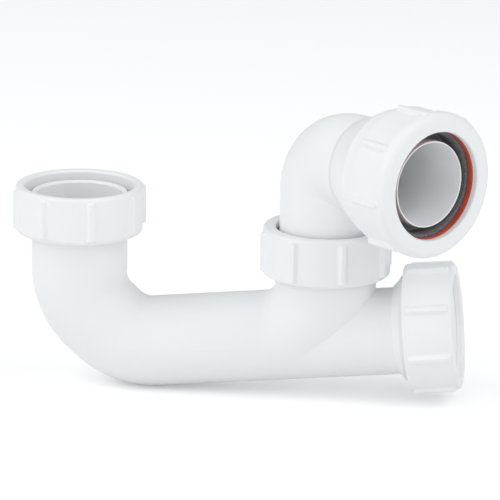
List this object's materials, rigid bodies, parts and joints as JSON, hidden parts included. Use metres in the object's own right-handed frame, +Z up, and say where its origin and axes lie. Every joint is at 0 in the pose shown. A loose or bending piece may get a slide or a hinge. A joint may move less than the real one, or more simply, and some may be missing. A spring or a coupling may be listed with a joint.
{
  "type": "bath trap",
  "caption": "White plastic bath trap with a loose ring nut at its inlet, a cleaning eye at the end of its tube, and a swivel elbow whose compression nut grips a waste pipe.",
  "frame": {"origin": "centre of the end of the inlet spigot", "axes": "+Z up along the inlet, +X along the trap's tube towards the cleaning eye, -Y towards the side that the picture shows"},
  "size_m": [0.2023, 0.094, 0.1362],
  "materials": {
    "white_polypropylene": "moulded, satin",
    "red_polythene": "moulded, satin",
    "black_rubber": "moulded, matt"
  },
  "bodies": {
    "trap_body": {"trap_body": "white_polypropylene"},
    "inlet_washer": {"inlet_washer": "black_rubber"},
    "inlet_nut": {"inlet_nut": "white_polypropylene"},
    "outlet_elbow": {"outlet_elbow": "white_polypropylene", "outlet_seal": "black_rubber"},
    "union_seal": {"union_seal": "black_rubber"},
    "union_nut": {"union_nut": "white_polypropylene"},
    "slip_ring": {"slip_ring": "red_polythene"},
    "outlet_nut": {"outlet_nut": "white_polypropylene"},
    "eye_plug": {"eye_plug": "white_polypropylene", "eye_washer": "black_rubber"},
    "eye_nut": {"eye_nut": "white_polypropylene"}
  },
  "joints": [
    {"name": "inlet_nut_slide", "type": "slide", "parent": "trap_body", "child": "inlet_washer", "axis": [0, 0, 1], "range_m": [-0.014, 0.0105]},
    {"name": "inlet_nut_turn", "type": "hinge", "parent": "inlet_washer", "child": "inlet_nut", "pos_m": [0, 0, 0], "axis": [0, 0, 1], "continuous": true},
    {"name": "outlet_swivel", "type": "hinge", "parent": "trap_body", "child": "outlet_elbow", "pos_m": [0.1063, 0, 0], "axis": [0, 0, 1], "continuous": true},
    {"name": "union_travel", "type": "slide", "parent": "trap_body", "child": "union_seal", "axis": [0, 0, 1], "range_m": [0, 0.0075]},
    {"name": "union_nut_turn", "type": "hinge", "parent": "union_seal", "child": "union_nut", "pos_m": [0.1063, 0, 0], "axis": [0, 0, 1], "range_deg": [0, 1080]},
    {"name": "slip_ring_travel", "type": "slide", "parent": "outlet_elbow", "child": "slip_ring", "axis": [0.7431, -0.6691, 0], "range_m": [0, 0.0075]},
    {"name": "outlet_nut_turn", "type": "hinge", "parent": "slip_ring", "child": "outlet_nut", "pos_m": [0.1063, 0, 0.02125], "axis": [0.7431, -0.6691, 0], "range_deg": [0, 1080]},
    {"name": "eye_plug_travel", "type": "slide", "parent": "trap_body", "child": "eye_plug", "axis": [0.9945, 0, 0.1045], "range_m": [0, 0.0075]},
    {"name": "eye_nut_turn", "type": "hinge", "parent": "eye_plug", "child": "eye_nut", "pos_m": [0, 0, -0.068], "axis": [0.9945, 0, 0.1045], "range_deg": [0, 1080]}
  ],
  "couplings": [
    {"joint": "union_travel", "follows": "union_nut_turn", "m_per_rad": 0.000397},
    {"joint": "slip_ring_travel", "follows": "outlet_nut_turn", "m_per_rad": 0.000397},
    {"joint": "eye_plug_travel", "follows": "eye_nut_turn", "m_per_rad": 0.000397}
  ]
}
